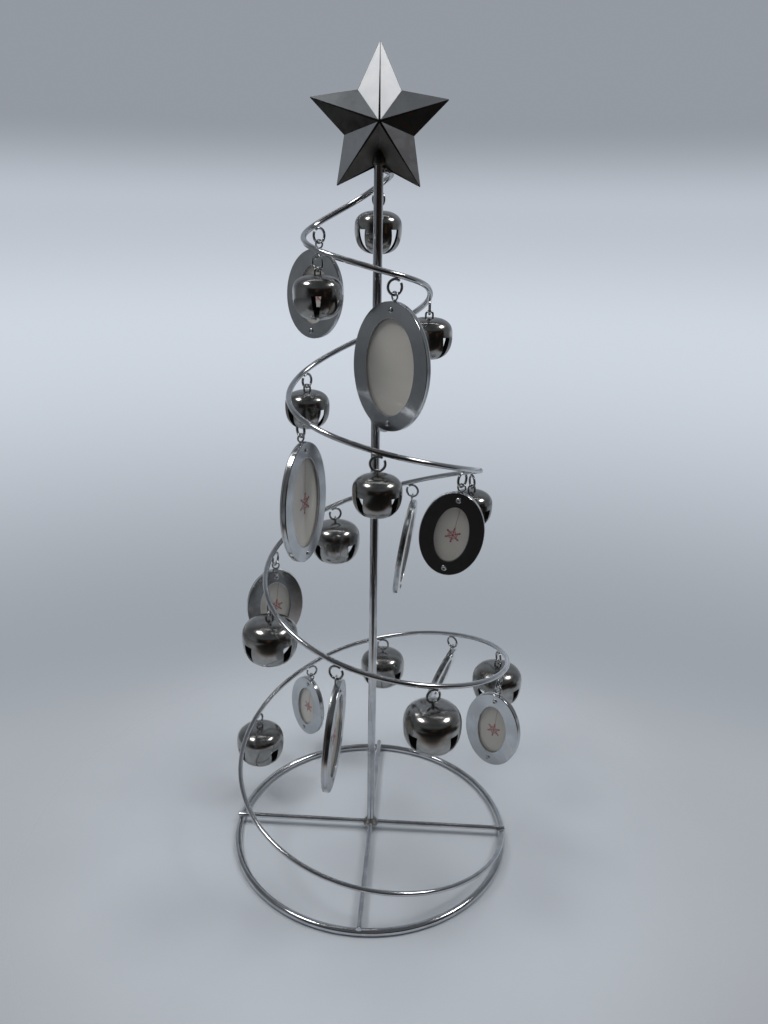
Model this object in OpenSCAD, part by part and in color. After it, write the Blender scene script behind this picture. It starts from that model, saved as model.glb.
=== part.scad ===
/* [Base] */
// Outside diameter of the ring that lies on the floor
ring_d = 180; // [150:1:240]
// Wire diameter of the base ring
ring_wire = 4.5; // [3.5:0.1:6]
// How much is ground flat under the base ring
ring_land = 0.08; // [0.03:0.01:0.2]
// Diameter of the two crossed rods on the ring
rod_d = 3.2; // [2.5:0.1:4]

/* [Pole] */
// Diameter of the upright pole
pole_d = 5; // [4:0.1:7]

/* [Coil] */
// Wire diameter of the coil
coil_wire = 3; // [2.4:0.1:3.6]
// Height of the coil's top end above the floor
coil_top = 411; // [360:1:480]
// Direction of the coil's foot, in degrees from the right end of the side rod
coil_start = -3; // [-12:1:-3]
// Reach of the coil from the pole at each quarter turn, in percent of the base ring's radius
coil_reach = [100, 97, 96, 98, 94.5, 82, 71.5, 66, 68, 65, 52, 37.5, 32, 38.5, 43, 17];
// Climb of the coil at each quarter turn, in percent of its whole height
coil_climb = [0, 6.5, 13.7, 23.2, 31.6, 39, 46.5, 53.6, 61.5, 68, 73, 79.5, 85.3, 88.8, 92.5, 98.6, 100];
// Straight pieces in each quarter turn of the coil
coil_steps = 12; // [6:1:20]

/* [Hanger rings] */
// Outside diameter of a hanger ring
hanger_d = 9; // [8:0.1:11]
// Wire diameter of a hanger ring
hanger_wire = 1.4; // [1.2:0.1:1.6]
// Opening of a hanger ring, in degrees
hanger_gap = 24; // [12:1:40]
// Play between a hanger ring and the loop hooked through it
hook_play = 0.3; // [0.2:0.05:0.4]

/* [Bells] */
// Diameter of a small bell
small_bell_d = 25.5; // [22:0.5:29]
// Diameter of a large bell
large_bell_d = 32; // [28:0.5:35]
// Thickness of the bell metal
bell_wall = 0.8; // [0.6:0.05:1.2]
// Each bell from the top: quarter turns up the coil, size (0 small, 1 large), turn in degrees
bells = [
    [14.93, 0, 94], [13.51, 0, 49], [11.95, 0, 4], [10.19, 0, 4], [8.91, 0, 94], [7.77, 0, 4],
    [6.64, 1, 94], [5.64, 1, 4], [4.64, 1, 94], [3.77, 1, 4], [2.98, 1, 94], [2.19, 1, 4]
];

/* [Photo frames] */
// Width and height of a small frame
small_frame = [35, 48];
// Width and height of a large frame
large_frame = [48, 66];
// Width of the rim round the window
rim_w = 8.3; // [6:0.1:9.5]
// Thickness of the front rim
rim_t = 2.2; // [1.8:0.1:3]
// Thickness of the back plate
back_t = 1.4; // [1.2:0.1:2]
// Diameter of a rivet's head
rivet_head = 3; // [2.5:0.1:3.5]
// Each frame from the top: quarter turns up, size (0 small, 1 large), turn, sideways lean, tilt back
frames = [
    [14.20, 0, -25, 5, 0], [12.75, 1, -36, 1, 0], [11.02, 0, 60, 0, 0], [9.45, 1, 72, 0, 0],
    [8.36, 0, -8, 9, 0], [7.20, 1, 83, 0, 8], [6.08, 0, 23, 3, 0], [5.10, 1, 85, 0, 4],
    [4.20, 0, -33, 3, 0], [3.38, 0, 68, 0, 18], [2.58, 0, -44, 9, 0]
];

/* [Star] */
// Distance from the star's middle to its points
star_r = 36.6; // [30:0.5:42]
// Distance from the star's middle to its notches
star_notch_r = 18.8; // [16:0.5:21]
// Height of the star's middle above the floor
star_z = 432.4; // [382:1:500]
// Depth of each star shell at its middle
star_depth = 10.3; // [9:0.1:14]
// Thickness of the star's sheet metal
star_wall = 0.8; // [0.6:0.1:1.2]
// Turn of the star about the pole
star_turn = 4; // [-20:1:20]

/* [Hidden] */
$fn = 48;
ring_r = (ring_d - ring_wire) / 2;
ring_mid_z = ring_wire / 2 - ring_land;
ring_top_z = ring_mid_z + ring_wire / 2;
weld = 0.1;
rod_z = ring_top_z + rod_d / 2 - weld;
rod_reach = ring_d / 2 - 0.4;
pole_foot_z = rod_z + rod_d / 2;
coil_sides = 8;
coil_foot_z = ring_top_z + coil_wire / 2 * cos(180 / coil_sides) - weld;
coil_turns = len(coil_climb) - 1;
coil_end_gap = 0.72;
coil_end = pole_d / 2 + coil_end_gap;
hanger_r = (hanger_d - hanger_wire) / 2;
loop_wire = 1.1;
loop_r = 1.9;
eye_wire = 1;
eye_r = 2.1;
eye_drop = 2.9;
bell_drop = 1.7;
bell_dome = 0.346;
bell_tail = 0.63;
bell_floor = 0.55;
cover_t = 0.4;
card_t = 0.4;
seam = 0.03;
pocket_t = cover_t + card_t + 3 * seam;
pocket_w = 1.2;
rivet_hole = 1.6;
rivet_rise = 0.5;
arch_w = pole_d + 2.4;

// Smooth curve through a list of values, one at each whole q
function before(list, i) = i > 0 ? list[i - 1] : 2 * list[0] - list[1];
function after(list, i) = i < len(list) - 1 ? list[i + 1] : 2 * list[i] - list[i - 1];
function through(list, q) =
    let (i = max(0, min(len(list) - 2, floor(q))), u = q - i)
    let (a = before(list, i), b = list[i], c = list[i + 1], d = after(list, i + 1))
    b + 0.5 * u * (c - a + u * (2 * a - 5 * b + 4 * c - d + u * (3 * (b - c) + d - a)));

// The coil's centre line: q counts quarter turns from its foot on the base ring
reach_list = concat([for (p = coil_reach) p * ring_r / 100], [coil_end]);
function coil_angle(q) = coil_start - 90 * q;
function coil_radius(q) = through(reach_list, q);
function coil_height(q) = coil_foot_z + (coil_top - coil_foot_z) * through(coil_climb, q) / 100;
function on_coil(q) =
    let (r = coil_radius(q), a = coil_angle(q)) [r * cos(a), r * sin(a), coil_height(q)];
function unit(v) = v / norm(v);
function along_coil(q) =
    unit(on_coil(min(q + 0.01, coil_turns)) - on_coil(max(q - 0.01, 0)));

// A hanger ring hangs in the upright plane that holds the coil's direction at q
function heading(q) = let (t = along_coil(q)) atan2(t[1], t[0]);
function level_part(q) = let (t = along_coil(q)) norm([t[0], t[1]]);
function hanger_drop(q) = (coil_wire / 2 + hanger_d / 2 - weld) / level_part(q);
function hook_point(q) = on_coil(q) - [0, 0, hanger_drop(q) + hanger_r];

// A loop may stand this far from square to its hanger ring; past that it is twisted to it
loop_slack = 15;
function off_square(turn, q) = let (a = turn - heading(q)) a - 180 * floor(a / 180) - 90;
function loop_twist(turn, q) =
    let (off = off_square(turn, q)) max(-loop_slack, min(loop_slack, off)) - off;

module wire_ring(r, wire, from = 0, sweep = 360) {
    rotate([0, 0, from])
        rotate_extrude(angle = sweep)
            translate([r, 0])
                circle(d = wire, $fn = 24);
}

module base_ring() {
    color([0.72, 0.73, 0.75])
        difference() {
            translate([0, 0, ring_mid_z])
                rotate_extrude($fn = 96)
                    translate([ring_r, 0])
                        circle(d = ring_wire);
            translate([0, 0, -ring_wire])
                cube([2 * ring_d, 2 * ring_d, 2 * ring_wire], center = true);
        }
}

module side_rod() {
    color([0.7, 0.71, 0.73])
        translate([-rod_reach, 0, rod_z])
            rotate([0, 90, 0])
                cylinder(d = rod_d, h = 2 * rod_reach);
}

module half_rod() {
    difference() {
        translate([0, 0, rod_z])
            rotate([90, 0, 0])
                cylinder(d = rod_d, h = rod_reach);
        translate([-rod_d, 0, rod_z])
            rotate([0, 90, 0])
                cylinder(d = rod_d, h = 2 * rod_d);
        translate([-rod_d, 0, 0])
            cube([2 * rod_d, rod_d, 4 * rod_z]);
    }
}

module front_rod() {
    color([0.7, 0.71, 0.73]) half_rod();
}

module rear_rod() {
    color([0.7, 0.71, 0.73]) mirror([0, 1, 0]) half_rod();
}

// The bead of weld metal round the pole's foot, cut to the rods and the pole that it joins
module foot_weld() {
    bead_r = pole_d / 2 + 2.4;
    color([0.6, 0.6, 0.6])
        difference() {
            rotate_extrude()
                polygon([
                    [0, rod_z - rod_d / 4],
                    [bead_r, rod_z - rod_d / 4],
                    [bead_r, rod_z + rod_d / 6],
                    [pole_d / 2 + 0.7, pole_foot_z + 0.8],
                    [pole_d / 2 + 0.2, pole_foot_z + 2.2],
                    [0, pole_foot_z + 2.2]
                ]);
            translate([0, 0, pole_foot_z])
                cylinder(d = pole_d, h = 20);
            translate([-ring_r, 0, rod_z])
                rotate([0, 90, 0])
                    cylinder(d = rod_d, h = 2 * ring_r);
            translate([0, ring_r, rod_z])
                rotate([90, 0, 0])
                    cylinder(d = rod_d, h = 2 * ring_r);
        }
}

// The pole stops inside the star's top point, where the two shells close on it
pole_tip_z = star_z + star_r * (1 - (pole_d / 2 + star_wall) / star_face_gap());
module centre_pole() {
    color([0.72, 0.73, 0.75])
        translate([0, 0, pole_foot_z])
            cylinder(d = pole_d, h = pole_tip_z - pole_foot_z);
}

// The wire is swept along its centre line, one eight-sided section at each step
coil_sections = coil_turns * coil_steps;
function coil_section(k) =
    let (q = k / coil_steps, c = on_coil(q), t = along_coil(q), a = coil_angle(q))
    let (n = unit([cos(a), sin(a), 0] - ([cos(a), sin(a), 0] * t) * t), b = cross(t, n))
    [for (s = [0:coil_sides - 1])
        let (w = 360 * (s + 0.5) / coil_sides) c + (coil_wire / 2) * (cos(w) * n + sin(w) * b)];
module coil() {
    rings = [for (k = [0:coil_sections]) each coil_section(k)];
    last = coil_sections * coil_sides;
    walls = [
        for (k = [0:coil_sections - 1], s = [0:coil_sides - 1])
            let (a = k * coil_sides + s, b = k * coil_sides + (s + 1) % coil_sides)
            each [[a, a + coil_sides, b], [b, a + coil_sides, b + coil_sides]]
    ];
    foot = [for (s = [0:coil_sides - 1]) s];
    top = [for (s = [0:coil_sides - 1]) last + coil_sides - 1 - s];
    color([0.74, 0.75, 0.77])
        polyhedron(points = rings, faces = concat(walls, [foot], [top]), convexity = 10);
}

// Upright C-shaped ring, its gap just below the weld on the coil
module hanger_ring(q) {
    translate(on_coil(q) - [0, 0, hanger_drop(q)])
        rotate([90, 0, heading(q)])
            wire_ring(hanger_r, hanger_wire, 140 + hanger_gap / 2, 360 - hanger_gap);
}

module hanger_rings() {
    color([0.68, 0.69, 0.71]) {
        for (b = bells) hanger_ring(b[0]);
        for (f = frames) hanger_ring(f[0]);
    }
}

// Half outline of a bell for diameter d: squarish dome above the widest line, round tail below
function bell_side(d, floor_cut, step) = concat(
    [for (a = [90:-step:0]) d / 2 * [pow(cos(a), 2 / 2.6), 2 * bell_dome * pow(sin(a), 2 / 2.6)]],
    [for (a = [step:step:60]) d / 2 * [cos(a), -2 * bell_tail * sin(a)]],
    [[0, -floor_cut]]
);
function bell_edge(d, floor_cut, step) = [
    for (p = bell_side(d, floor_cut, step)) [max(0, p[0]), max(-floor_cut, p[1])]
];

module bell(d, turn, twist) {
    inner_d = d - 2 * bell_wall;
    loop_z = loop_wire / 2 + hook_play + hanger_wire / 2 - loop_r;
    middle_z = -bell_drop - bell_dome * d;
    slot = [
        [-0.1 * d, -0.03 * d], [0.1 * d, -0.03 * d],
        [0.025 * d, -0.6 * d], [-0.025 * d, -0.6 * d]
    ];
    color([0.7, 0.71, 0.72])
        rotate([0, 0, turn]) {
            translate([0, 0, middle_z])
                difference() {
                    union() {
                        rotate_extrude()
                            polygon(bell_edge(d, bell_floor * d, 10));
                        rotate([0, 0, twist])
                            bell_loop(loop_z - middle_z, bell_dome * d - bell_wall / 2);
                    }
                    rotate_extrude()
                        polygon(bell_edge(inner_d, bell_floor * d - bell_wall, 15));
                    for (a = [45, 135])
                        rotate([90, 0, a])
                            translate([0, 0, -d])
                                linear_extrude(2 * d)
                                    polygon(slot);
                }
            translate([0, 0, middle_z - bell_floor * d + bell_wall + 0.11 * d + 0.05])
                sphere(d = 0.22 * d);
        }
}

// Upside-down U of wire that joins the hanger ring, from above down into the dome
module bell_loop(top_z, foot_z) {
    translate([0, 0, top_z])
        rotate([90, 0, 0])
            wire_ring(loop_r, loop_wire, 0, 180);
    for (x = [-loop_r, loop_r])
        translate([x, 0, foot_z])
            cylinder(d = loop_wire, h = top_z - foot_z, $fn = 24);
}

module oval(w, h) {
    polygon([for (a = [0:7.5:352.5]) [w / 2 * cos(a), h / 2 * sin(a)]]);
}

// Flat oval plate in the upright plane, its outer face at y and its thickness towards +Y
module oval_plate(w, h, y, t) {
    translate([0, y + t, 0])
        rotate([90, 0, 0])
            linear_extrude(t)
                oval(w, h);
}

// Where the frame hangs: its eye round the hook point, leaning and tilting about that point
module hung_frame(i) {
    f = frames[i];
    size = f[1] == 1 ? large_frame : small_frame;
    translate(hook_point(f[0]))
        rotate([f[4], f[3], f[2]])
            translate([0, -back_t / 2, -eye_drop - size[1] / 2])
                children();
}

module rivet_bores(size, d) {
    for (s = [-1, 1])
        translate([0, -10, s * (size[1] - rim_w) / 2])
            rotate([-90, 0, 0])
                cylinder(d = d, h = 20, $fn = 24);
}

module frame_rim(i) {
    size = frames[i][1] == 1 ? large_frame : small_frame;
    window = size - [2 * rim_w, 2 * rim_w];
    color([0.66, 0.68, 0.7])
        hung_frame(i)
            difference() {
                oval_plate(size[0], size[1], -rim_t, rim_t);
                oval_plate(window[0], window[1], -2 * rim_t, 4 * rim_t);
                oval_plate(window[0] + 2 * pocket_w, window[1] + 2 * pocket_w, -pocket_t, rim_t);
                rivet_bores(size, rivet_hole);
            }
}

module frame_back(i) {
    size = frames[i][1] == 1 ? large_frame : small_frame;
    eye_z = size[1] / 2 + eye_drop + eye_wire / 2 + hook_play + hanger_wire / 2 - eye_r;
    twist = loop_twist(frames[i][2], frames[i][0]);
    color([0.64, 0.66, 0.68])
        hung_frame(i) {
            difference() {
                union() {
                    oval_plate(size[0], size[1], 0, back_t);
                    translate([0, back_t / 2, eye_z])
                        rotate([90, 0, twist])
                            wire_ring(eye_r, eye_wire);
                }
                rivet_bores(size, rivet_hole);
            }
            for (s = [-1, 1])
                translate([0, 0, s * (size[1] - rim_w) / 2])
                    rivet();
        }
}

// Rivet through both plates, a low head on each outer face
module rivet() {
    front = rim_t + seam;
    rear = back_t + seam;
    rotate([90, 0, 0])
        rotate_extrude($fn = 24)
            polygon([
                [0, -rear - rivet_rise / 2],
                [rivet_head / 2, -rear - rivet_rise / 2],
                [rivet_head / 2, -rear],
                [rivet_hole / 2 - seam, -rear],
                [rivet_hole / 2 - seam, front],
                [rivet_head / 2, front],
                [rivet_head / 2 - 0.3, front + rivet_rise],
                [0, front + rivet_rise]
            ]);
}

// The photo card and the clear cover before it, in the pocket behind the window
module frame_photo(i) {
    size = frames[i][1] == 1 ? large_frame : small_frame;
    card = size - [2 * rim_w - 2 * pocket_w + 0.4, 2 * rim_w - 2 * pocket_w + 0.4];
    hung_frame(i) {
        color([0.85, 0.9, 0.92, 0.4])
            oval_plate(card[0], card[1], seam - pocket_t, cover_t);
        color([0.86, 0.83, 0.76])
            oval_plate(card[0], card[1], -seam - card_t, card_t);
    }
}

// Five-pointed outline of the star, its points at r and its notches at notch
function star_outline(r, notch) = [
    for (k = [0:9]) let (a = 90 - 36 * k, d = k % 2 == 0 ? r : notch) [d * cos(a), d * sin(a)]
];
function star_face_normal() = cross(
    [0, star_depth, star_r],
    [star_notch_r * sin(36), star_depth, star_notch_r * cos(36)]
);
function star_face_gap() = abs(star_depth * unit(star_face_normal())[1]);

// Solid front half of a star, flat at the back and rising to an edge along each point
module star_half(shrink) {
    outline = star_outline(star_r * shrink, star_notch_r * shrink);
    polyhedron(
        points = concat([for (p = outline) [p[0], 0, p[1]]], [[0, -star_depth * shrink, 0]]),
        faces = concat([for (k = [0:9]) [k, (k + 1) % 10, 10]], [[for (k = [9:-1:0]) k]])
    );
}

module star_shell() {
    shrink = 1 - star_wall / star_face_gap();
    difference() {
        star_half(1);
        star_half(shrink);
        translate([0, 0, -star_notch_r])
            cylinder(d = arch_w, h = star_notch_r * 0.4);
        translate([0, 0, -star_notch_r * 0.6])
            sphere(d = arch_w);
    }
}

module star_front() {
    color([0.6, 0.62, 0.65])
        translate([0, 0, star_z])
            rotate([0, 0, star_turn])
                star_shell();
}

module star_back() {
    color([0.6, 0.62, 0.65])
        translate([0, 0, star_z])
            rotate([0, 0, star_turn])
                mirror([0, 1, 0])
                    star_shell();
}

module hung_bell(i) {
    b = bells[i];
    translate(hook_point(b[0]))
        bell(b[1] == 1 ? large_bell_d : small_bell_d, b[2], loop_twist(b[2], b[0]));
}

base_ring();
side_rod();
front_rod();
rear_rod();
foot_weld();
centre_pole();
coil();
hanger_rings();
star_front();
star_back();
for (i = [1:len(bells)])
    hung_bell(i - 1);
for (i = [1:len(frames)]) {
    frame_rim(i - 1);
    frame_back(i - 1);
    frame_photo(i - 1);
}
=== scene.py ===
import bpy
import bmesh
import math
from mathutils import Matrix, Vector


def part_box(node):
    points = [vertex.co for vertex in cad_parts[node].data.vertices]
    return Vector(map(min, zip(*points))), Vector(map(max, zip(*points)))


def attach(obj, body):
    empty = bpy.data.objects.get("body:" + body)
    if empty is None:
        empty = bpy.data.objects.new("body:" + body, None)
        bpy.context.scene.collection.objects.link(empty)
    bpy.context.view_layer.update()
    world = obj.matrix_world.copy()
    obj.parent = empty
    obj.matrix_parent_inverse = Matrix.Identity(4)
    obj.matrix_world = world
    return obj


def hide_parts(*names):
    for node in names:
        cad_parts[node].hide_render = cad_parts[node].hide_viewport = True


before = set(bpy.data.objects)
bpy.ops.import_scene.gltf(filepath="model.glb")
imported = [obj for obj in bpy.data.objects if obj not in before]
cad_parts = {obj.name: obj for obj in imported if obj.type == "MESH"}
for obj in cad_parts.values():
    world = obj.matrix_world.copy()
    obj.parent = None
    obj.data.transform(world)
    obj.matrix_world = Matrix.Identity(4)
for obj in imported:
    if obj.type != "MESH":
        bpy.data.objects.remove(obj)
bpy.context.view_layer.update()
mm = 0.001


# Camera, as the photograph was taken

cameraSet = {
    "place": (0.02977, -0.44818, 0.38828),
    "heading": -3.091,  # degrees from +Y, positive to the right
    "downward": 19.747,
    "roll": 0.959,
    "focalPixels": 820,
    "framePixels": 1024,
    "sensor": 36,
    "clip": (0.01, 50),
}


def makeCamera(s):
    yaw, down, roll = (math.radians(s[k]) for k in ("heading", "downward", "roll"))
    ahead = Vector((math.sin(yaw) * math.cos(down), math.cos(yaw) * math.cos(down),
                    -math.sin(down)))
    right = Vector((math.cos(yaw), -math.sin(yaw), 0))
    up = right.cross(ahead)
    turnedRight = right * math.cos(roll) + up * math.sin(roll)
    turnedUp = up * math.cos(roll) - right * math.sin(roll)
    data = bpy.data.cameras.new("photoCamera")
    data.sensor_fit = "AUTO"
    data.sensor_width = s["sensor"]
    data.lens = s["sensor"] * s["focalPixels"] / s["framePixels"]
    data.clip_start, data.clip_end = s["clip"]
    camera = bpy.data.objects.new("photoCamera", data)
    axes = Matrix((turnedRight, turnedUp, -ahead)).transposed().to_4x4()
    camera.matrix_world = Matrix.Translation(s["place"]) @ axes
    bpy.context.scene.collection.objects.link(camera)
    bpy.context.scene.camera = camera


makeCamera(cameraSet)
bpy.context.scene.view_settings.view_transform = "Standard"
print("camera placed")


# Node helpers for the materials and the world

def newMaterial(name):
    material = bpy.data.materials.new(name)
    material.use_nodes = True
    tree = material.node_tree
    shader = tree.nodes["Principled BSDF"]
    return material, tree, shader


def addNode(tree, kind, **settings):
    node = tree.nodes.new(kind)
    for key, value in settings.items():
        setattr(node, key, value)
    return node


def setInputs(node, values):
    for key, value in values.items():
        node.inputs[key].default_value = value
    return node


def calc(tree, operation, a, b=None, c=None):
    node = addNode(tree, "ShaderNodeMath", operation=operation)
    for slotIndex, value in enumerate((a, b, c)):
        if value is None:
            continue
        if isinstance(value, (int, float)):
            node.inputs[slotIndex].default_value = value
        else:
            tree.links.new(value, node.inputs[slotIndex])
    return node.outputs[0]


def times(tree, *values):
    product = values[0]
    for value in values[1:]:
        product = calc(tree, "MULTIPLY", product, value)
    return product


def without(tree, value):
    return calc(tree, "SUBTRACT", 1, value)


def ease(tree, value, low, high):
    node = addNode(tree, "ShaderNodeMapRange", interpolation_type="SMOOTHSTEP")
    setInputs(node, {"From Min": low, "From Max": high})
    tree.links.new(value, node.inputs["Value"])
    return node.outputs["Result"]


def mixColour(tree, factor, a, b):
    node = addNode(tree, "ShaderNodeMix", data_type="RGBA")
    for key, value in ((0, factor), (6, a), (7, b)):
        if isinstance(value, (int, float, tuple)):
            node.inputs[key].default_value = value if key == 0 else (*value, 1)
        else:
            tree.links.new(value, node.inputs[key])
    return node.outputs[2]


def objectPoints(tree):
    return addNode(tree, "ShaderNodeTexCoord").outputs["Object"]


def noise(tree, points, scale, detail=3, roughness=0.5):
    node = addNode(tree, "ShaderNodeTexNoise")
    setInputs(node, {"Scale": scale, "Detail": detail, "Roughness": roughness})
    tree.links.new(points, node.inputs["Vector"])
    return node.outputs[0]


# Floor, world and lamps

stageSet = {
    "floorRadius": 2.4,
    "floorColour": (0.43, 0.46, 0.495),
    "floorMottle": (0.30, 0.32, 0.345),
    "mottleShare": 0.16,
    "mottleScale": 7,
    "mottleRange": (0.35, 0.75),
    "fade": (0.13, 0.30),  # where the floor melts into the backdrop, from the pole
    "paperEdge": (0.20, 0.24),  # where the paper ends in front, as the metal sees it
    "paperCurve": 0.3,  # how fast that edge moves away to the sides
    "paperMiddle": 0.05,
    "paperRight": (0.30, 0.36),
    "rightUpTo": (0.0, 0.15),  # behind this the paper is wider
    "paperLeft": (-0.42, -0.34),
    "edgeWidth": 0.03,
    "edgeShare": 0.5,
    "floorDark": (0.012, 0.011, 0.010),  # past the paper's front and right edges
    "edgeGlow": (0.42, 0.25, 0.14),
    "leftTone": (0.24, 0.25, 0.26),
    "backdrop": (  # height of the line of sight, colour
        (-0.80, (0.345, 0.36, 0.385)),
        (-0.56, (0.39, 0.415, 0.45)),
        (-0.46, (0.33, 0.36, 0.40)),
        (-0.12, (0.62, 0.67, 0.74)),
        (0.01, (0.50, 0.54, 0.60)),
        (0.10, (0.295, 0.32, 0.355)),
    ),
    "backdropFrom": (0.3, 0.75),  # how far behind the metal still mirrors it
    "fill": (0.25, 0.26, 0.275),  # the tent as it lights paper and cards
    "tent": (0.17, 0.18, 0.19),  # and as metal mirrors it
    "ceiling": (0.085, 0.09, 0.096),
    "ceilingFrom": (0.1, 0.8),
    "openAhead": (0.05, 0.30),  # the tent's open front, by forward, side and height
    "openFromLeft": (-0.80, -0.55),
    "openUpTo": (0.30, 0.58),
    "room": (0.012, 0.011, 0.010),
    "glow": (0.17, 0.08, 0.045),
    "glowScale": 3.2,
    "glowRange": (0.6, 0.72),
}


def paperEnds(tree, points, tone, unseen, s):
    # the metal sees the paper end in front and at the sides, and the camera doesn't
    apart = addNode(tree, "ShaderNodeSeparateXYZ")
    tree.links.new(points, apart.inputs[0])
    x, y = apart.outputs["X"], apart.outputs["Y"]
    off = calc(tree, "ABSOLUTE", calc(tree, "SUBTRACT", x, s["paperMiddle"]))
    aside = calc(tree, "POWER", off, 2)
    front = calc(tree, "MULTIPLY_ADD", aside, -s["paperCurve"], times(tree, y, -1))
    low, high = s["paperEdge"]
    beyond = ease(tree, front, low, high)
    edge = times(tree, ease(tree, front, low - s["edgeWidth"], low), without(tree, beyond))
    right = times(tree, ease(tree, x, *s["paperRight"]),
                  without(tree, ease(tree, y, *s["rightUpTo"])))
    left = without(tree, ease(tree, x, *s["paperLeft"]))
    for share, colour in (
            (calc(tree, "MAXIMUM", beyond, right), s["floorDark"]),
            (times(tree, edge, s["edgeShare"]), s["edgeGlow"]),
            (left, s["leftTone"])):
        tone = mixColour(tree, times(tree, share, unseen), tone, colour)
    return tone


def makeFloor(s):
    bm = bmesh.new()
    bmesh.ops.create_circle(bm, cap_ends=True, segments=96, radius=s["floorRadius"])
    mesh = bpy.data.meshes.new("floor")
    bm.to_mesh(mesh)
    bm.free()
    floor = bpy.data.objects.new("floor", mesh)
    bpy.context.scene.collection.objects.link(floor)
    material, tree, shader = newMaterial("floorPaper")
    points = objectPoints(tree)
    byCamera = addNode(tree, "ShaderNodeLightPath").outputs["Is Camera Ray"]
    mottle = ease(tree, noise(tree, points, s["mottleScale"], 4), *s["mottleRange"])
    mottle = times(tree, mottle, s["mottleShare"])
    tone = mixColour(tree, mottle, s["floorColour"], s["floorMottle"])
    tone = paperEnds(tree, points, tone, without(tree, byCamera), s)
    tree.links.new(tone, shader.inputs["Base Color"])
    setInputs(shader, {"Roughness": 0.6, "Specular IOR Level": 0.2})
    away = addNode(tree, "ShaderNodeVectorMath", operation="LENGTH")
    tree.links.new(points, away.inputs[0])
    gone = times(tree, ease(tree, away.outputs["Value"], *s["fade"]), byCamera)
    clear = addNode(tree, "ShaderNodeBsdfTransparent")
    mix = addNode(tree, "ShaderNodeMixShader")
    tree.links.new(gone, mix.inputs[0])
    tree.links.new(shader.outputs[0], mix.inputs[1])
    tree.links.new(clear.outputs[0], mix.inputs[2])
    tree.links.new(mix.outputs[0], tree.nodes["Material Output"].inputs["Surface"])
    mesh.materials.append(material)


def makeWorld(s):
    world = bpy.data.worlds.new("studio")
    bpy.context.scene.world = world
    world.use_nodes = True
    tree = world.node_tree
    sight = addNode(tree, "ShaderNodeTexCoord").outputs["Generated"]
    apart = addNode(tree, "ShaderNodeSeparateXYZ")
    tree.links.new(sight, apart.inputs[0])
    x, y, z = (apart.outputs[k] for k in "XYZ")
    steps = s["backdrop"]
    shown = steps[0][1]
    for (low, _), (high, colour) in zip(steps, steps[1:]):
        shown = mixColour(tree, ease(tree, z, low, high), shown, colour)
    walls = mixColour(tree, ease(tree, z, *s["ceilingFrom"]), s["tent"], s["ceiling"])
    opening = times(tree, ease(tree, times(tree, y, -1), *s["openAhead"]),
                    ease(tree, x, *s["openFromLeft"]), without(tree, ease(tree, z, *s["openUpTo"])))
    spots = ease(tree, noise(tree, sight, s["glowScale"], 2), *s["glowRange"])
    room = mixColour(tree, spots, s["room"], s["glow"])
    studio = mixColour(tree, opening, walls, room)
    rays = addNode(tree, "ShaderNodeLightPath").outputs
    studio = mixColour(tree, rays["Is Diffuse Ray"], studio, s["fill"])
    seen = times(tree, rays["Is Glossy Ray"], ease(tree, y, *s["backdropFrom"]))
    for kind in ("Is Camera Ray", "Is Transmission Ray"):
        seen = calc(tree, "MAXIMUM", seen, rays[kind])
    tree.links.new(mixColour(tree, seen, studio, shown), tree.nodes["Background"].inputs["Color"])


lampAim = (0, 0, 0.22)
lampSet = {  # place, size, power, whether the metal mirrors it
    "leftStrip": ((-0.58, -0.16, 1.16), (0.30, 0.22), 3.2, True),
    "rightStrip": ((0.74, 0.02, 1.06), (0.30, 0.22), 3.2, True),
    "topBar": ((0.0, 0.25, 1.35), (1.1, 0.04), 0.5, True),
    "tentTop": ((0.0, 0.05, 1.5), (1.6, 1.3), 15.0, False),
}


def makeLamps(lamps):
    for name, (place, size, power, mirrored) in lamps.items():
        data = bpy.data.lights.new(name, "AREA")
        data.shape = "RECTANGLE"
        data.size, data.size_y = size
        data.energy = power
        lamp = bpy.data.objects.new(name, data)
        lamp.location = place
        aim = Vector(lampAim) - Vector(place)
        lamp.rotation_euler = aim.to_track_quat("-Z", "Y").to_euler()
        lamp.visible_camera = False
        lamp.visible_glossy = mirrored
        bpy.context.scene.collection.objects.link(lamp)


makeFloor(stageSet)
makeWorld(stageSet)
makeLamps(lampSet)
print("stage and lamps placed")


# Finishes

smearScale = 90  # of the cloudy smears on the plating
underCover = {"Coat Weight": 0.8, "Coat Roughness": 0.04, "Coat IOR": 1.45}


def platedSteel(name, tint, shade, gloss, smear, ripple=0.0, rippleScale=60, metal=1.0):
    material, tree, shader = newMaterial(name)
    points = objectPoints(tree)
    cloud = ease(tree, noise(tree, points, smearScale, 4, 0.6), 0.35, 0.68)
    tree.links.new(mixColour(tree, cloud, tint, shade), shader.inputs["Base Color"])
    fine = noise(tree, points, smearScale * 7, 2, 0.5)
    rough = calc(tree, "MULTIPLY_ADD", cloud, smear, gloss)
    rough = calc(tree, "MULTIPLY_ADD", fine, smear * 0.5, rough)
    tree.links.new(rough, shader.inputs["Roughness"])
    shader.inputs["Metallic"].default_value = metal
    if ripple:
        bump = addNode(tree, "ShaderNodeBump")
        setInputs(bump, {"Strength": 1, "Distance": ripple})
        tree.links.new(noise(tree, points, rippleScale, 2, 0.4), bump.inputs["Height"])
        tree.links.new(bump.outputs["Normal"], shader.inputs["Normal"])
    return material


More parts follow.
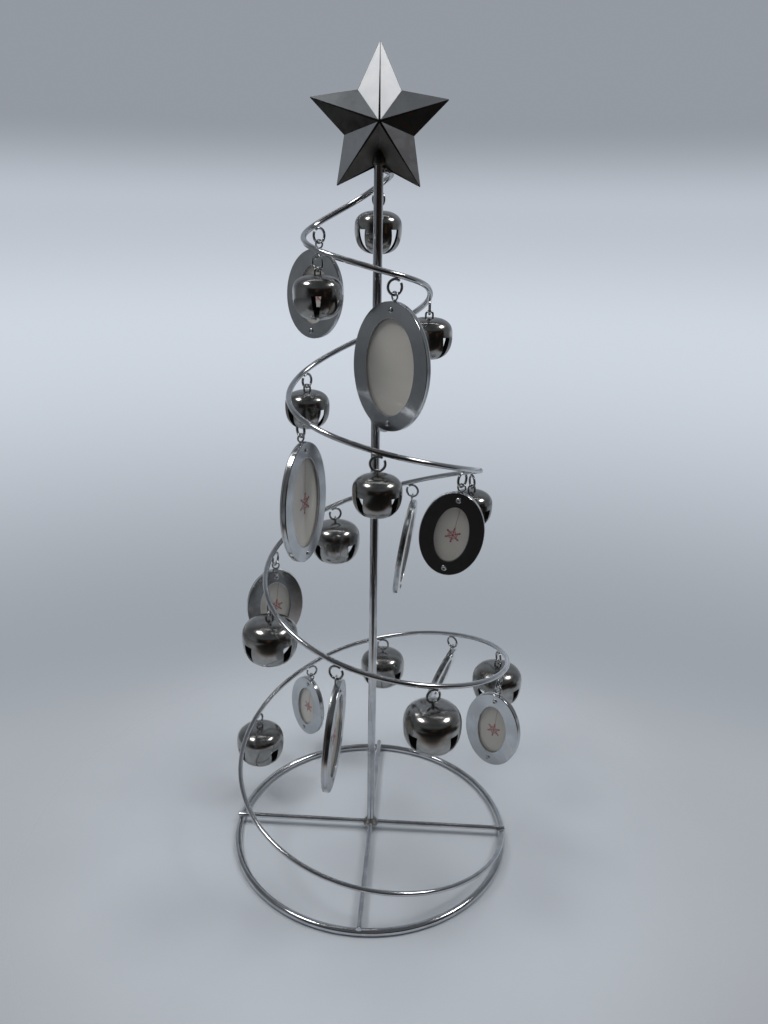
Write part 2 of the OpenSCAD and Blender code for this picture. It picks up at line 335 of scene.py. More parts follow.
finishes = {
    "wire": platedSteel("wirePlate", (0.64, 0.65, 0.67), (0.50, 0.51, 0.53), 0.10, 0.06),
    "pole": platedSteel("polePlate", (0.60, 0.61, 0.63), (0.46, 0.47, 0.49), 0.10, 0.07,
                        0.00003, 160),
    "bell": platedSteel("bellPlate", (0.39, 0.385, 0.375), (0.26, 0.255, 0.245), 0.12, 0.10,
                        0.00005, 55),
    "hanger": platedSteel("hangerPlate", (0.52, 0.53, 0.54), (0.36, 0.37, 0.38), 0.14, 0.08),
    # the bell's inside is painted near black as painted shade
    "inside": platedSteel("bellInsidePaintedDark", (0.10, 0.10, 0.10), (0.05, 0.05, 0.048), 0.5, 0.1),
    "ball": platedSteel("ballSteel", (0.20, 0.20, 0.20), (0.12, 0.12, 0.115), 0.4, 0.1),
    "rim": platedSteel("rimPlate", (0.56, 0.575, 0.59), (0.48, 0.495, 0.51), 0.13, 0.05,
                       0.00001, 300),
    "plate": platedSteel("backPlate", (0.60, 0.615, 0.625), (0.48, 0.495, 0.505), 0.24, 0.10),
    "rivet": platedSteel("rivetPlate", (0.68, 0.69, 0.71), (0.45, 0.46, 0.48), 0.15, 0.08),
    "star": platedSteel("starPlate", (0.60, 0.62, 0.65), (0.46, 0.48, 0.50), 0.30, 0.10,
                        0.00003, 220),
    # the star's painted reflection: a pale copy of its plating for the top arm, and dark copies for
    # the facets that look down, the lower of them also for the neck
    "starPaintedHighlight": platedSteel("starPaintedHighlight", (0.95, 0.96, 0.97), (0.86, 0.87, 0.89), 0.36, 0.10,
                            0.00003, 220, metal=0.15),
    "starPaintedDarkUpper": platedSteel("starPaintedDarkUpper", (0.10, 0.098, 0.094), (0.055, 0.053, 0.05), 0.34, 0.12,
                            0.00003, 220),
    "starPaintedDarkLower": platedSteel("starPaintedDarkLower", (0.24, 0.23, 0.22), (0.17, 0.165, 0.155), 0.34, 0.12,
                            0.00003, 220),
    # near black for the star's rounded ridges, tips and seam: painted dark reflection on the ridges
    # and tips, and the dark seam where the halves meet
    "starSeamAndPaintedDark": platedSteel("starSeamAndPaintedDark", (0.045, 0.044, 0.042), (0.02, 0.02, 0.02), 0.40, 0.10),
    "weld": platedSteel("weldBead", (0.42, 0.41, 0.39), (0.20, 0.19, 0.18), 0.30, 0.15,
                        0.0003, 700),
}


def tintNear(material, colour, place, reach, speckScale=0):
    # a soft patch of another colour round a place, or specks of it
    tree = material.node_tree
    shader = tree.nodes["Principled BSDF"]
    points = objectPoints(tree)
    away = addNode(tree, "ShaderNodeVectorMath", operation="DISTANCE")
    tree.links.new(points, away.inputs[0])
    away.inputs[1].default_value = place
    near = without(tree, ease(tree, away.outputs["Value"], *reach))
    if speckScale:
        specks = ease(tree, noise(tree, points, speckScale, 3, 0.7), 0.60, 0.66)
        near = times(tree, near, specks)
    before = shader.inputs["Base Color"].links[0].from_socket
    tree.links.new(mixColour(tree, near, before, colour), shader.inputs["Base Color"])


# painted shade: a dark patch in the hollow over the pole; and a little rust on the right arm
tintNear(finishes["starPaintedDarkLower"], (0.035, 0.033, 0.03), (0, -0.0035, 0.4185), (0.001, 0.0075))
tintNear(finishes["starPaintedDarkUpper"], (0.20, 0.045, 0.015), (0.014, -0.006, 0.4295), (0.004, 0.010), 330)


def makeCardPaper():
    material, tree, shader = newMaterial("cardPaper")
    points = objectPoints(tree)
    fibre = noise(tree, points, 900, 3, 0.6)
    broad = ease(tree, noise(tree, points, 45, 2), 0.35, 0.7)
    tone = mixColour(tree, broad, (0.63, 0.60, 0.545), (0.56, 0.535, 0.485))
    tone = mixColour(tree, times(tree, fibre, 0.12), tone, (0.34, 0.32, 0.285))
    tree.links.new(tone, shader.inputs["Base Color"])
    setInputs(shader, {"Roughness": 0.75, **underCover})
    return material


def makeInk():
    material, tree, shader = newMaterial("redInk")
    speck = ease(tree, noise(tree, objectPoints(tree), 1500, 2), 0.4, 0.75)
    tone = mixColour(tree, speck, (0.30, 0.008, 0.016), (0.42, 0.03, 0.04))
    tree.links.new(tone, shader.inputs["Base Color"])
    setInputs(shader, {"Roughness": 0.6, **underCover})
    return material


def makeCoverSheet():
    material, tree, shader = newMaterial("clearSheet")
    haze = noise(tree, objectPoints(tree), 120, 2)
    tone = mixColour(tree, haze, (0.80, 0.84, 0.85), (0.88, 0.90, 0.90))
    tree.links.new(tone, shader.inputs["Base Color"])
    setInputs(shader, {"Roughness": 0.05, "Alpha": 0.06, "IOR": 1.45})
    return material


finishes["card"] = makeCardPaper()
finishes["ink"] = makeInk()
finishes["cover"] = makeCoverSheet()
print("finishes made")


# Modelling helpers

def finishPiece(bm, name, body, nodes=(), materials=("wire",), sharpAngle=35):
    bmesh.ops.recalc_face_normals(bm, faces=bm.faces)
    mesh = bpy.data.meshes.new(name)
    bm.to_mesh(mesh)
    bm.free()
    for key in materials:
        mesh.materials.append(finishes[key])
    piece = bpy.data.objects.new(name, mesh)
    bpy.context.scene.collection.objects.link(piece)
    mesh.shade_smooth()
    mesh.set_sharp_from_angle(angle=math.radians(sharpAngle))
    if nodes:
        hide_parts(*nodes)
    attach(piece, body)
    return piece


def paintFaces(faces, index):
    for face in faces:
        face.material_index = index


def roundOff(bm, geom, offset, affect):
    made = bmesh.ops.bevel(bm, geom=geom, offset=offset, offset_type="OFFSET", segments=3,
                           profile=0.5, affect=affect, material=-1)
    return made["faces"]


def openEdges(items):
    return [e for e in items if isinstance(e, bmesh.types.BMEdge) and e.is_boundary]


def onlyVerts(items):
    return [v for v in items if isinstance(v, bmesh.types.BMVert)]


def stations(path):
    # a frame at each point of a path, carried along it without twist
    heads = []
    count = len(path)
    for k in range(count):
        heads.append((path[min(k + 1, count - 1)] - path[max(k - 1, 0)]).normalized())
    side = heads[0].orthogonal().normalized()
    frames = []
    for k in range(count):
        side = (side - heads[k] * side.dot(heads[k])).normalized()
        other = heads[k].cross(side)
        axes = Matrix((side, other, heads[k])).transposed().to_4x4()
        frames.append(Matrix.Translation(path[k]) @ axes)
    return frames


def sweepWire(bm, path, radii, sides):
    places = [p @ Matrix.Diagonal((r, r, r, 1)) for p, r in zip(stations(path), radii)]
    made = bmesh.ops.create_circle(bm, cap_ends=True, segments=sides, radius=1, matrix=places[0])
    edges = openEdges({e for v in made["verts"] for e in v.link_edges})
    for last, here in zip(places, places[1:]):
        grown = bmesh.ops.extrude_edge_only(bm, edges=edges)["geom"]
        bmesh.ops.transform(bm, matrix=here @ last.inverted(), verts=onlyVerts(grown))
        edges = openEdges(grown)
    bmesh.ops.contextual_create(bm, geom=edges)


def domeEnd(path, radii, steps=4):
    # a wire's path and radii with a small dome added after the last point
    radius, tip = radii[-1], path[-1]
    ahead = (tip - path[-2]).normalized()
    bends = [math.radians(90 * k / (steps + 0.4)) for k in range(1, steps + 1)]
    return (path + [tip + ahead * radius * math.sin(bend) * 0.6 for bend in bends],
            radii + [radius * math.cos(bend) for bend in bends])


def roundEnded(path, radius):
    path, radii = domeEnd(path, [radius] * len(path))
    path, radii = domeEnd(path[::-1], radii[::-1])
    return path[::-1], radii[::-1]


def revolve(bm, outline, axis, steps, closed=False, merge=1e-6):
    # a full turn of an outline that starts and ends on the axis, or is closed beside it
    corners = [bm.verts.new(point) for point in outline]
    ends = corners[1:] + corners[:1] if closed else corners[1:]
    edges = [bm.edges.new(pair) for pair in zip(corners, ends)]
    bmesh.ops.spin(bm, geom=edges + corners, cent=(0, 0, 0), axis=axis, dvec=(0, 0, 0),
                   angle=2 * math.pi, steps=steps, use_merge=True, use_duplicate=False)
    bmesh.ops.remove_doubles(bm, verts=bm.verts, dist=merge)


def wireRing(bm, radius, wire, place, start=0, sweep=360, sides=12, steps=48):
    # a ring in the XZ plane of its place; an open one gets flat ends
    whole = sweep == 360
    turn = Matrix.Rotation(math.radians(-start), 4, "Y")
    section = turn @ Matrix.Translation((radius, 0, 0))
    made = bmesh.ops.create_circle(bm, cap_ends=not whole, segments=sides, radius=wire / 2,
                                   matrix=section)
    edges = list({e for v in made["verts"] for e in v.link_edges})
    before = set(bm.verts) - set(made["verts"])
    swept = bmesh.ops.spin(bm, geom=edges, cent=(0, 0, 0), axis=(0, -1, 0), dvec=(0, 0, 0),
                           angle=math.radians(sweep), steps=steps, use_merge=whole,
                           use_duplicate=False)
    if not whole:
        bmesh.ops.contextual_create(bm, geom=openEdges(swept["geom_last"]))
    bmesh.ops.transform(bm, matrix=place, verts=[v for v in bm.verts if v not in before])


def joinInto(bm, other):
    mesh = bpy.data.meshes.new("joined")
    other.to_mesh(mesh)
    other.free()
    bm.from_mesh(mesh)
    bpy.data.meshes.remove(mesh)


# Base: ring, crossed rods, weld, pole

baseSet = {
    "ringRadius": 87.75, "ringWire": 4.5, "ringLand": 0.08,
    "rodWire": 3.2, "rodReach": 89.6, "rodHeight": 5.92, "rodEdge": 0.35,
    "poleWire": 5.0,
}


def makeBaseRing(s):
    bm = bmesh.new()
    wireRing(bm, s["ringRadius"] * mm, s["ringWire"] * mm, Matrix.Rotation(math.pi / 2, 4, "X"),
             sides=28, steps=160)
    lift = (s["ringWire"] / 2 - s["ringLand"]) * mm
    bmesh.ops.translate(bm, verts=bm.verts, vec=(0, 0, lift))
    cut = bmesh.ops.bisect_plane(bm, geom=bm.verts[:] + bm.edges[:] + bm.faces[:],
                                 plane_co=(0, 0, 0), plane_no=(0, 0, -1), clear_outer=True)
    bmesh.ops.bridge_loops(bm, edges=openEdges(cut["geom_cut"]))
    finishPiece(bm, "baseRing", "stand", ["base_ring"])


def makeRods(s):
    r, reach, z = s["rodWire"] / 2 * mm, s["rodReach"] * mm, s["rodHeight"] * mm
    for name, node, ends in (
            ("sideRod", "side_rod", ((-reach, 0), (reach, 0))),
            ("frontRod", "front_rod", ((0, -r), (0, -reach))),
            ("rearRod", "rear_rod", ((0, r), (0, reach)))):
        a, b = (Vector((x, y, z)) for x, y in ends)
        bm = bmesh.new()
        sweepWire(bm, [a.lerp(b, k / 24) for k in range(25)], [r] * 25, 24)
        rims = [e for e in bm.edges if e.is_manifold and e.calc_face_angle() > 1.2]
        roundOff(bm, rims, s["rodEdge"] * mm, "EDGES")
        finishPiece(bm, name, "stand", [node])


def makePole(s):
    low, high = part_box("centre_pole")
    bm = bmesh.new()
    path = [Vector((0, 0, low.z + (high.z - low.z) * k / 60)) for k in range(61)]
    sweepWire(bm, path, [s["poleWire"] / 2 * mm] * 61, 32)
    finishPiece(bm, "centrePole", "stand", ["centre_pole"], ("pole",))


makeBaseRing(baseSet)
makeRods(baseSet)
makePole(baseSet)
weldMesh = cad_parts["foot_weld"].data
weldMesh.materials.clear()
weldMesh.materials.append(finishes["weld"])
print("base and pole made")


# Coil

coilSet = {
    "wire": 3.0, "foot": 5.7077, "top": 411, "start": -3, "endRadius": 3.22,
    # the way out from the pole at each quarter turn, in percent of the ring's radius
    "reach": [100, 97, 96, 98, 94.5, 82, 71.5, 66, 68, 65, 52, 37.5, 32, 38.5, 43, 17],
    # and the height there, in percent of the climb
    "climb": [0, 6.5, 13.7, 23.2, 31.6, 39, 46.5, 53.6, 61.5, 68, 73, 79.5, 85.3, 88.8, 92.5,
              98.6, 100],
    "stepsPerQuarter": 36,
}
coilReach = [p * baseSet["ringRadius"] / 100 for p in coilSet["reach"]] + [coilSet["endRadius"]]
coilQuarters = len(coilSet["climb"]) - 1


def through(values, q):
    # a smooth curve through the values, one at each whole q
    i = max(0, min(len(values) - 2, math.floor(q)))
    u = q - i
    b, c = values[i], values[i + 1]
    a = values[i - 1] if i > 0 else 2 * b - c
    d = values[i + 2] if i + 2 < len(values) else 2 * c - b
    return b + 0.5 * u * (c - a + u * (2 * a - 5 * b + 4 * c - d + u * (3 * (b - c) + d - a)))


def onCoil(q):
    s = coilSet
    r = through(coilReach, q)
    angle = math.radians(s["start"] - 90 * q)
    z = s["foot"] + (s["top"] - s["foot"]) * through(s["climb"], q) / 100
    return Vector((r * math.cos(angle), r * math.sin(angle), z)) * mm


def alongCoil(q):
    return (onCoil(min(q + 0.01, coilQuarters)) - onCoil(max(q - 0.01, 0))).normalized()


def makeCoil(s):
    bm = bmesh.new()
    count = coilQuarters * s["stepsPerQuarter"]
    path = [onCoil(coilQuarters * k / count) for k in range(count + 1)]
    path, radii = roundEnded(path, s["wire"] / 2 * mm)
    sweepWire(bm, path, radii, 20)
    finishPiece(bm, "coilWire", "stand", ["coil"])


makeCoil(coilSet)
print("coil made")


# Where each hanging piece is, by its quarter turn on the coil

hangerSet = {
    "outside": 9.0, "wire": 1.4, "gap": 24, "gapAt": 140, "weld": 0.1,
    "loopSlack": 15,  # how far a loop may be from square to its ring
}
hangerRadius = (hangerSet["outside"] - hangerSet["wire"]) / 2

# quarter turn, size, turn about the upright
bellList = [
    (14.93, "small", 94), (13.51, "small", 49), (11.95, "small", 4), (10.19, "small", 4),
    (8.91, "small", 94), (7.77, "small", 4), (6.64, "large", 94), (5.64, "large", 4),
    (4.64, "large", 94), (3.77, "large", 4), (2.98, "large", 94), (2.19, "large", 4)]
# and for the frames also the lean to the side and the tilt forward
frameList = [
    (14.20, "small", -25, 5, 0), (12.75, "large", -36, 1, 0), (11.02, "small", 60, 0, 0),
    (9.45, "large", 72, 0, 0), (8.36, "small", -8, 9, 0), (7.20, "large", 83, 0, 8),
    (6.08, "small", 23, 3, 0), (5.10, "large", 85, 0, 4), (4.20, "small", -33, 3, 0),
    (3.38, "small", 68, 0, 18), (2.58, "small", -44, 9, 0)]


def coilHeading(q):
    t = alongCoil(q)
    return math.degrees(math.atan2(t.y, t.x))


def hangerDrop(q):
    t = alongCoil(q)
    drop = coilSet["wire"] / 2 + hangerSet["outside"] / 2 - hangerSet["weld"]
    return drop / math.hypot(t.x, t.y) * mm


def hookPoint(q):
    return onCoil(q) - Vector((0, 0, hangerDrop(q) + hangerRadius * mm))


def loopTwist(turn, q):
    # how far a loop is turned on its piece, to stand square to its ring within the slack
    away = turn - coilHeading(q)
    off = away - 180 * math.floor(away / 180) - 90
    return max(-hangerSet["loopSlack"], min(hangerSet["loopSlack"], off)) - off


def spun(x=0, y=0, z=0):
    return (Matrix.Rotation(math.radians(z), 4, "Z") @ Matrix.Rotation(math.radians(y), 4, "Y")
            @ Matrix.Rotation(math.radians(x), 4, "X"))


def makeHangerRings(s):
    bm = bmesh.new()
    for q, *_ in bellList + frameList:
        middle = onCoil(q) - Vector((0, 0, hangerDrop(q)))
        place = Matrix.Translation(middle) @ spun(z=coilHeading(q))
        wireRing(bm, hangerRadius * mm, s["wire"] * mm, place, s["gapAt"] + s["gap"] / 2,
                 360 - s["gap"], 12, 44)
    finishPiece(bm, "hangerRings", "stand", ["hanger_rings"], ("hanger",))


makeHangerRings(hangerSet)
print("hanger rings made")


# Bells

bellSet = {
    "small": 25.5, "large": 32.0, "wall": 0.8, "drop": 1.7,
    "dome": 0.346, "floor": 0.53, "power": 2.6, "around": 96,
    "slotTurns": (45, 135),
    "slotTop": 0.10, "slotFoot": 0.025, "slotTopZ": -0.03, "slotFootZ": -0.6,
    "loopWire": 1.1, "loopRadius": 1.9, "play": 0.3, "ball": 0.22, "ballPlay": 0.05,
}
bellFinishes = ("bell", "inside")


def bowPoint(d, height, degrees):
    # one point on a quarter of a rounded square, half as wide as d
    a, power = math.radians(degrees), 2 / bellSet["power"]
    return d / 2 * abs(math.cos(a)) ** power, 0, height * math.sin(a) ** power


def bellOutline(d):
    s = bellSet
    points = [bowPoint(d, d * s["dome"], 90 - 90 * k / 32) for k in range(33)]
    points += [bowPoint(d, -d * s["floor"], 90 * k / 40) for k in range(1, 41)]
    return [(0, 0, points[0][2])] + points[1:-1] + [(0, 0, points[-1][2])]


def slotSides(d):
    # each slot's two slanting sides: its turn, the side's outward normal, a point on it
    s = bellSet
    rise = (s["slotTopZ"] - s["slotFootZ"]) * d
    run = (s["slotTop"] - s["slotFoot"]) * d
    sides = []
    for turn in s["slotTurns"]:
        across = Vector((math.cos(math.radians(turn)), math.sin(math.radians(turn)), 0))
        for side in (1, -1):
            outward = (across * side * rise + Vector((0, 0, -run))).normalized()
            point = across * side * s["slotTop"] * d + Vector((0, 0, s["slotTopZ"] * d))
            sides.append((turn, outward, point))
    return sides


def inSlot(middle, sides):
    return any(all((middle - p).dot(n) < 0 for t, n, p in sides if t == turn)
               for turn in bellSet["slotTurns"])


def addBellShell(bm, d, wall):
    s = bellSet
    revolve(bm, bellOutline(d), (0, 0, 1), s["around"])
    bmesh.ops.recalc_face_normals(bm, faces=bm.faces)
    slotTop = s["slotTopZ"] * d
    bmesh.ops.bisect_plane(bm, geom=bm.verts[:] + bm.edges[:] + bm.faces[:],
                           plane_co=(0, 0, slotTop), plane_no=(0, 0, 1), dist=1e-7)
    sides = slotSides(d)
    for _, outward, point in sides:
        lower = [f for f in bm.faces if f.calc_center_median().z < slotTop]
        geom = list({v for f in lower for v in f.verts}) + list({e for f in lower for e in f.edges})
        bmesh.ops.bisect_plane(bm, geom=geom + lower, plane_co=point, plane_no=outward, dist=1e-7)
    gone = [f for f in bm.faces if f.calc_center_median().z <= slotTop
            and inSlot(f.calc_center_median(), sides)]
    bmesh.ops.delete(bm, geom=gone, context="FACES")
    bmesh.ops.solidify(bm, geom=bm.faces[:], thickness=wall)
    heart = Vector((0, 0, -0.1 * d))  # the faces that look this way are the inside
    # the inside faces get the near-black painted shade
    for face in bm.faces:
        inward = face.normal.dot(heart - face.calc_center_median()) > 0.1 * d
        face.material_index = bellFinishes.index("inside" if inward else "bell")


def bellLoop(d, middle, twist):
    s = bellSet
    top = (s["loopWire"] / 2 + s["play"] + hangerSet["wire"] / 2 - s["loopRadius"]) * mm - middle
    foot = s["dome"] * d - s["wall"] / 2 * mm
    r = s["loopRadius"] * mm
    path = [Vector((r, 0, foot)).lerp(Vector((r, 0, top)), k / 4) for k in range(4)]
    path += [Vector((r * math.cos(a), 0, top + r * math.sin(a)))
             for a in (math.radians(180 * k / 20) for k in range(21))]
    path += [Vector((-r, 0, top)).lerp(Vector((-r, 0, foot)), k / 4) for k in range(1, 5)]
    loop = bmesh.new()
    sweepWire(loop, path, [s["loopWire"] / 2 * mm] * len(path), 12)
    bmesh.ops.rotate(loop, verts=loop.verts, matrix=spun(z=twist).to_3x3())
    return loop


def makeBells(s):
    for number, (q, size, turn) in enumerate(bellList, 1):
        d = s[size] * mm
        middle = -s["drop"] * mm - s["dome"] * d
        place = Matrix.Translation(hookPoint(q)) @ spun(z=turn) @ Matrix.Translation((0, 0, middle))
        body = "bell_%d" % number
        bm = bmesh.new()
        addBellShell(bm, d, s["wall"] * mm)
        joinInto(bm, bellLoop(d, middle, loopTwist(turn, q)))
        bmesh.ops.transform(bm, matrix=place, verts=bm.verts)
        finishPiece(bm, "bell%dShell" % number, body, [body], bellFinishes, 40)
        ball = bmesh.new()
        r = s["ball"] / 2 * d
        bmesh.ops.create_uvsphere(ball, u_segments=24, v_segments=16, radius=r)
        rest = -s["floor"] * d + (s["wall"] + s["ballPlay"]) * mm + r
        bmesh.ops.transform(ball, matrix=place @ Matrix.Translation((0, 0, rest)), verts=ball.verts)
        finishPiece(ball, "bell%dBall" % number, body, (), ("ball",))


makeBells(bellSet)
print("bells made")


# Photo frames

frameSet = {
    "small": (35, 48), "large": (48, 66), "around": 96,
    "rimWidth": 8.3, "rimThick": 2.2, "backThick": 1.4,
    "eyeWire": 1.0, "eyeRadius": 2.1, "eyeDrop": 2.9, "play": 0.3,
    "pocketWidth": 1.2, "pocketDepth": 0.89, "seam": 0.03, "sheet": 0.4, "sheetPlay": 0.2,
    "rivetHead": 3.0, "rivetRise": 0.5, "rivetStem": 0.75, "rivetLift": 0.02,
}
photoFinishes = ("card", "ink", "cover")
plainCards = (2,)


def growOval(bm, w, h, steps, close=False):
    # steps are (inset, y); each is an oval ring pulled out of the last one
    sizes = [(w / 2 - inset, h / 2 - inset, y) for inset, y in steps]
    a, b, y = sizes[0]
    flat = (Matrix.Translation((0, y, 0)) @ Matrix.Diagonal((a, 1, b, 1))
            @ Matrix.Rotation(math.pi / 2, 4, "X"))
    made = bmesh.ops.create_circle(bm, cap_ends=False, segments=frameSet["around"], radius=1,
                                   matrix=flat)
    first = edges = list({e for v in made["verts"] for e in v.link_edges})
    for (a0, b0, y0), (a1, b1, y1) in zip(sizes, sizes[1:]):
        grown = bmesh.ops.extrude_edge_only(bm, edges=edges)["geom"]
        move = (Matrix.Translation((0, y1, 0)) @ Matrix.Diagonal((a1 / a0, 1, b1 / b0, 1))
                @ Matrix.Translation((0, -y0, 0)))
        bmesh.ops.transform(bm, matrix=move, verts=onlyVerts(grown))
        edges = openEdges(grown)
    if close:
        bmesh.ops.bridge_loops(bm, edges=openEdges(first) + edges)
    return first, edges


def growPlate(bm, w, h, steps):
    first, last = growOval(bm, w, h, steps)
    bmesh.ops.contextual_create(bm, geom=openEdges(first))
    bmesh.ops.contextual_create(bm, geom=last)


def makeRim(s, w, h):
    bm = bmesh.new()
    t, rim = s["rimThick"], s["rimWidth"]
    pocket, depth = rim - s["pocketWidth"], s["pocketDepth"]
    outline = [(0.12, 0), (0, -0.15), (0, -t + 0.6), (0, -t + 0.5), (0.06, -t + 0.24),
               (0.2, -t + 0.07), (0.42, -t), (0.5, -t),
               (rim - 0.4, -t), (rim - 0.33, -t), (rim - 0.09, -t + 0.08),
               (rim, -t + 0.3), (rim, -t + 0.4), (rim, -depth), (pocket, -depth), (pocket, 0)]
    growOval(bm, w, h, outline, close=True)
    return bm


def makeBack(s, w, h, twist):
    bm = bmesh.new()
    t = s["backThick"]
    growPlate(bm, w, h, [(0.12, 0.0), (0, 0.14), (0, t - 0.45), (0.1, t - 0.2), (0.28, t - 0.05),
                         (0.5, t)])
    lift = s["eyeDrop"] + s["eyeWire"] / 2 + s["play"] + hangerSet["wire"] / 2 - s["eyeRadius"]
    place = Matrix.Translation((0, t / 2, h / 2 + lift)) @ spun(z=twist)
    eye = bmesh.new()
    wireRing(eye, s["eyeRadius"], s["eyeWire"], place, sides=12, steps=36)
    joinInto(bm, eye)
    return bm


def makeRivets(s, h):
    bm = bmesh.new()
    rise, r, stem = s["rivetRise"], s["rivetHead"] / 2, s["rivetStem"]
    front, back = s["rimThick"] + s["rivetLift"], s["backThick"] + s["rivetLift"]
    head = [(0, front + rise * 0.35), (r * 0.3, front + rise * 0.38),
            (r * 0.48, front + rise * 0.8), (r * 0.66, front + rise),
            (r * 0.86, front + rise * 0.75), (r, front + rise * 0.2),
            (r * 0.98, front), (stem, front - 0.1), (stem, -back + 0.1), (r * 0.98, -back),
            (r, -back - rise * 0.15), (r * 0.8, -back - rise * 0.45), (0, -back - rise * 0.5)]
    for side in (-1, 1):
        one = bmesh.new()
        revolve(one, [(x, -y, 0) for x, y in head], (0, 1, 0), 28, merge=1e-4)
        bmesh.ops.translate(one, verts=one.verts, vec=(0, 0, side * (h - s["rimWidth"]) / 2))
        joinInto(bm, one)
    return bm


flakeSet = {
    "arm": 3.2, "turn": 24, "line": 0.46, "barbLine": 0.8, "thick": 0.02, "dot": 0.58,
    "barbs": ((0.42, 1.35), (0.72, 0.95)), "fork": 55,  # where on the arm, how long; and the angle
    "place": (0.7, -0.6), "string": 0.22, "stringTop": (1.1, 0.97),
    "scale": {"small": 1.0, "large": 1.35}, "lift": 0.015,
}


def addStrip(bm, a, b, width, y):
    span = Vector((b[0] - a[0], 0, b[1] - a[1]))
    middle = Vector(((a[0] + b[0]) / 2, y, (a[1] + b[1]) / 2))
    turn = Matrix.Rotation(math.atan2(-span.z, span.x), 4, "Y")
    shape = Matrix.Diagonal((span.length, flakeSet["thick"], width, 1))
    bmesh.ops.create_cube(bm, size=1, matrix=Matrix.Translation(middle) @ turn @ shape)


def addFlake(bm, middle, size, y, top):
    s = flakeSet
    arm, line, dot = s["arm"] * size, s["line"] * size, s["dot"] * size

    def at(along, degrees, start=middle):
        a = math.radians(degrees)
        return start[0] + along * math.cos(a), start[1] + along * math.sin(a)

    for k in range(6):
        angle = 60 * k + s["turn"]
        addStrip(bm, middle, at(arm, angle), line, y)
        for along, length in s["barbs"]:
            fork = at(arm * along, angle)
            for lean in (-s["fork"], s["fork"]):
                addStrip(bm, fork, at(length * size, angle + lean, fork), line * s["barbLine"], y)
        x, z = at(arm + dot, angle)
        spot = Matrix.Translation((x, y, z)) @ Matrix.Rotation(math.pi / 2, 4, "X")
        bmesh.ops.create_cone(bm, cap_ends=True, segments=14, radius1=dot, radius2=dot,
                              depth=s["thick"], matrix=spot)
    hung = (middle[0] + s["stringTop"][0] * size, top * s["stringTop"][1])
    addStrip(bm, at(arm * 0.9, 60 + s["turn"]), hung, s["string"], y)


def makePhoto(s, w, h, flakeSize):
    # the card, the cover before it and, with a flake size, the print between them
    bm = bmesh.new()
    inset = s["rimWidth"] - s["pocketWidth"] + s["sheetPlay"]
    card = -s["seam"] - s["sheet"]
    for low, finish in ((card, "card"), (s["seam"] - s["pocketDepth"], "cover")):
        sheet = bmesh.new()
        growPlate(sheet, w, h, [(inset, low), (inset, low + s["sheet"])])
        bmesh.ops.recalc_face_normals(sheet, faces=sheet.faces)
        paintFaces(sheet.faces, photoFinishes.index(finish))
        joinInto(bm, sheet)
    if flakeSize:
        ink = bmesh.new()
        middle = tuple(p * flakeSize for p in flakeSet["place"])
        addFlake(ink, middle, flakeSize, card - flakeSet["lift"], h / 2 - s["rimWidth"])
        paintFaces(ink.faces, photoFinishes.index("ink"))
        joinInto(bm, ink)
    return bm


def makeFrames(s):
    for number, (q, size, turn, lean, tilt) in enumerate(frameList, 1):
        w, h = s[size]
        flakeSize = 0 if number in plainCards else flakeSet["scale"][size]
        place = (Matrix.Translation(hookPoint(q)) @ spun(tilt, lean, turn)
                 @ Matrix.Diagonal((mm, mm, mm, 1))
                 @ Matrix.Translation((0, -s["backThick"] / 2, -s["eyeDrop"] - h / 2)))
        body = "frame_%d" % number
        parts = (
            ("Rim", makeRim(s, w, h), "frame_rim_steel", ["_rim"], ("rim",), 30),
            ("Back", makeBack(s, w, h, loopTwist(turn, q)), "frame_back_steel", ["_back"],
             ("plate",), 30),
            ("Rivets", makeRivets(s, h), "frame_back_steel", [], ("rivet",), 40),
            ("Photo", makePhoto(s, w, h, flakeSize), "photo_insert", ["_photo"],
             photoFinishes, 30))
        for ending, bm, slotName, nodes, materials, sharp in parts:
            bmesh.ops.transform(bm, matrix=place, verts=bm.verts)
            finishPiece(bm, "frame%d%s" % (number, ending), body,
                        [body + n for n in nodes], materials, sharp)


makeFrames(frameSet)
print("frames made")


# Star

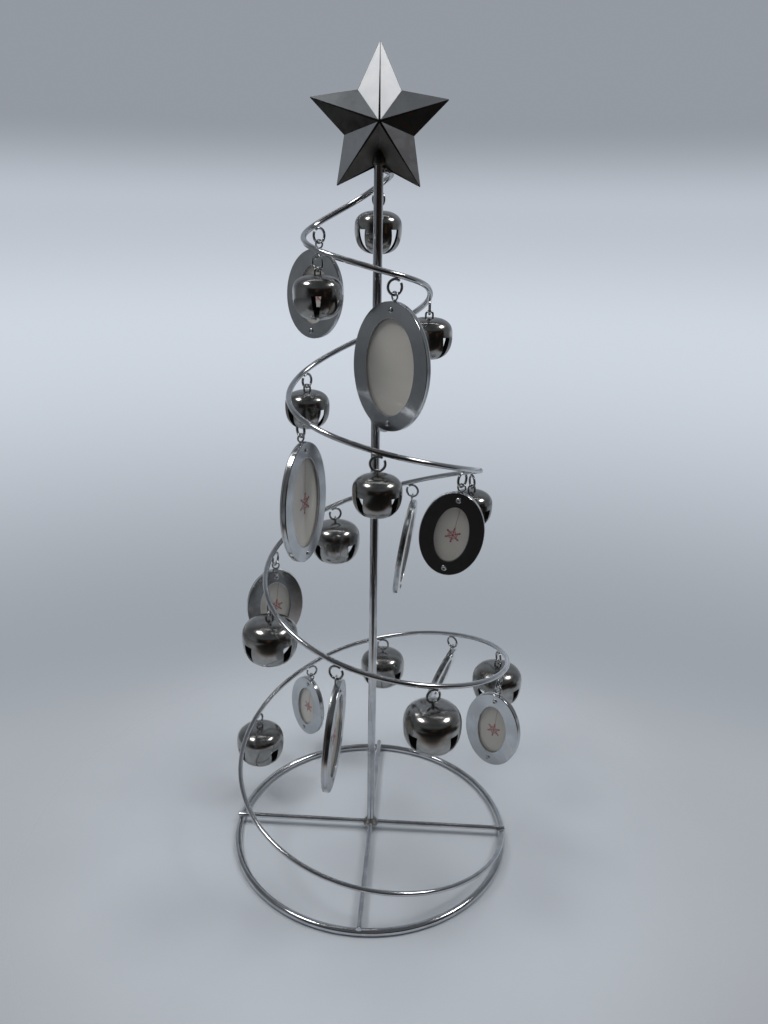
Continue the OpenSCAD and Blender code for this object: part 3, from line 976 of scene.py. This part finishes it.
starSet = {
    "mergeWithin": 0.01, "tipRound": 1.3, "tipsFrom": 35, "edgeRound": 0.62, "edgeOver": 8,
    "facingDown": -0.12, "armsOver": -12, "topOver": 8, "topWithin": 9,  # from the heart
    # the pressed neck that grips the pole, as radius and height
    "neck": ((2.53, 413.5), (3.3, 413.1), (3.62, 413.9), (3.62, 420.4), (2.53, 421.4)),
}
starFinishes = ("star", "starPaintedHighlight", "starPaintedDarkUpper", "starPaintedDarkLower", "starSeamAndPaintedDark")


def paintStar(bm, heart):
    # painted reflection: the top arm is painted pale for the pale wall it mirrors, and the facets
    # that look down are painted dark for the dark one they mirror, darker in the upper part than
    # low down
    s = starSet
    for face in bm.faces:
        place = face.calc_center_median() - heart
        finish = "star"
        if face.normal.z < s["facingDown"]:
            finish = "starPaintedDarkUpper" if place.z > s["armsOver"] * mm else "starPaintedDarkLower"
        elif place.z > s["topOver"] * mm and abs(place.x) < s["topWithin"] * mm:
            finish = "starPaintedHighlight"
        face.material_index = starFinishes.index(finish)


def starNeck(s):
    neck = bmesh.new()
    revolve(neck, [(x * mm, 0, z * mm) for x, z in s["neck"]], (0, 0, 1), 40, closed=True)
    # the neck is painted dark as painted shade under the star, in the same copy as the lower facets
    paintFaces(neck.faces, starFinishes.index("starPaintedDarkLower"))
    return neck


def makeStar(s):
    low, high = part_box("star_front")
    half = (high.x - low.x) / 2
    heart = Vector(((low.x + high.x) / 2, 0, high.z - half / math.sin(math.radians(72))))
    seamAndPaintedDarkIndex = starFinishes.index("starSeamAndPaintedDark")
    for node, name in (("star_front", "starFront"), ("star_back", "starBack")):
        bm = bmesh.new()
        bm.from_mesh(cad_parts[node].data)
        bmesh.ops.remove_doubles(bm, verts=bm.verts, dist=s["mergeWithin"] * mm)
        bmesh.ops.dissolve_limit(bm, angle_limit=math.radians(1), verts=bm.verts, edges=bm.edges)
        paintStar(bm, heart)
        # the rounded tips and long ridges are painted near black: painted dark reflection on the
        # ridges and tips, and the dark seam where the halves meet
        tips = [v for v in bm.verts if (v.co - heart).length > s["tipsFrom"] * mm]
        paintFaces(roundOff(bm, tips, s["tipRound"] * mm, "VERTICES"), seamAndPaintedDarkIndex)
        ridges = [e for e in bm.edges if e.is_manifold and e.is_convex
                  and e.calc_face_angle() > 0.2 and e.calc_length() > s["edgeOver"] * mm]
        paintFaces(roundOff(bm, ridges, s["edgeRound"] * mm, "EDGES"), seamAndPaintedDarkIndex)
        if node == "star_front":
            joinInto(bm, starNeck(s))
        finishPiece(bm, name, "stand", [node], starFinishes, 5)


makeStar(starSet)
print("star made")
